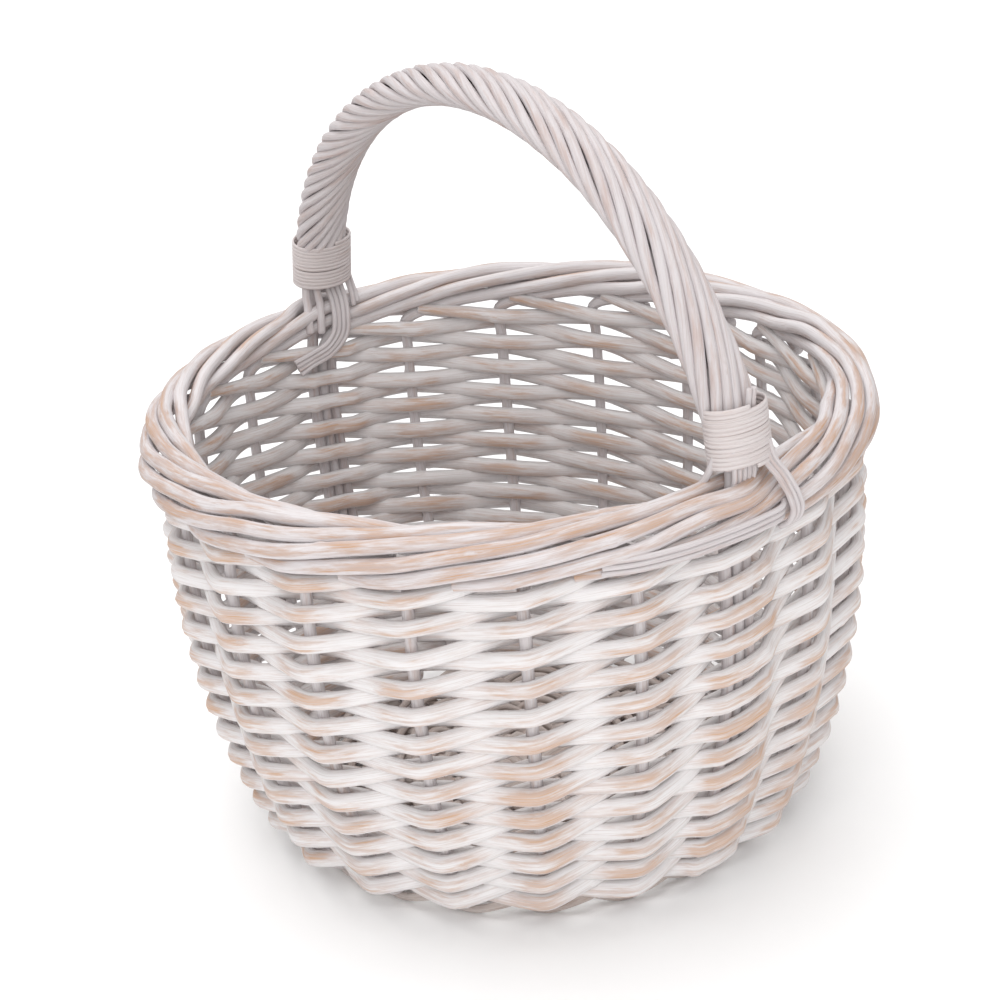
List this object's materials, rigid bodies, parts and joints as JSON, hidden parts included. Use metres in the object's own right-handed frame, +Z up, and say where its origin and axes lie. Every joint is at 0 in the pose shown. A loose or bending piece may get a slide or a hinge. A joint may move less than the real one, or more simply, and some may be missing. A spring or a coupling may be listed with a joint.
{
  "type": "market basket",
  "caption": "Round woven willow shopping basket with a flared side, plain border and a fixed roped bow handle bound to the rim at both feet.",
  "frame": {"origin": "middle of the base, on the surface that the basket stands on", "axes": "+Z up out of the basket's mouth, +Y along the handle towards its back foot, +X across the handle"},
  "size_m": [0.3576, 0.3592, 0.3829],
  "materials": {
    "stake_willow": "peeled willow, whitewashed",
    "weaver_willow": "peeled willow, whitewashed, rubbed back on the crowns",
    "base_willow": "peeled willow, whitewashed",
    "handle_willow": "peeled willow, whitewashed",
    "split_cane": "split cane, whitewashed"
  },
  "bodies": {
    "root": {"base_slit_sticks": "base_willow", "base_through_sticks": "base_willow", "base_weaver_1": "base_willow", "base_weaver_2": "base_willow", "foot_pair_rod_1": "base_willow", "foot_pair_rod_2": "base_willow", "handle_binding_back": "split_cane", "handle_binding_front": "split_cane", "handle_bow_rod_1": "handle_willow", "handle_bow_rod_2": "handle_willow", "handle_bow_rod_3": "handle_willow", "handle_roping_1": "handle_willow", "handle_roping_2": "handle_willow", "handle_roping_3": "handle_willow", "handle_roping_4": "handle_willow", "stake_01": "stake_willow", "stake_02": "stake_willow", "stake_03": "stake_willow", "stake_04": "stake_willow", "stake_05": "stake_willow", "stake_06": "stake_willow", "stake_07": "stake_willow", "stake_08": "stake_willow", "stake_09": "stake_willow", "stake_10": "stake_willow", "stake_11": "stake_willow", "stake_12": "stake_willow", "stake_13": "stake_willow", "stake_14": "stake_willow", "stake_15": "stake_willow", "stake_16": "stake_willow", "stake_17": "stake_willow", "stake_18": "stake_willow", "stake_19": "stake_willow", "stake_20": "stake_willow", "weaver_01": "weaver_willow", "weaver_02": "weaver_willow", "weaver_03": "weaver_willow", "weaver_04": "weaver_willow", "weaver_05": "weaver_willow", "weaver_06": "weaver_willow", "weaver_07": "weaver_willow", "weaver_08": "weaver_willow", "weaver_09": "weaver_willow", "weaver_10": "weaver_willow", "weaver_11": "weaver_willow", "weaver_12": "weaver_willow", "weaver_13": "weaver_willow", "weaver_14": "weaver_willow", "weaver_15": "weaver_willow", "weaver_16": "weaver_willow", "weaver_17": "weaver_willow", "weaver_18": "weaver_willow", "weaver_19": "weaver_willow", "weaver_20": "weaver_willow"}
  },
  "joints": []
}
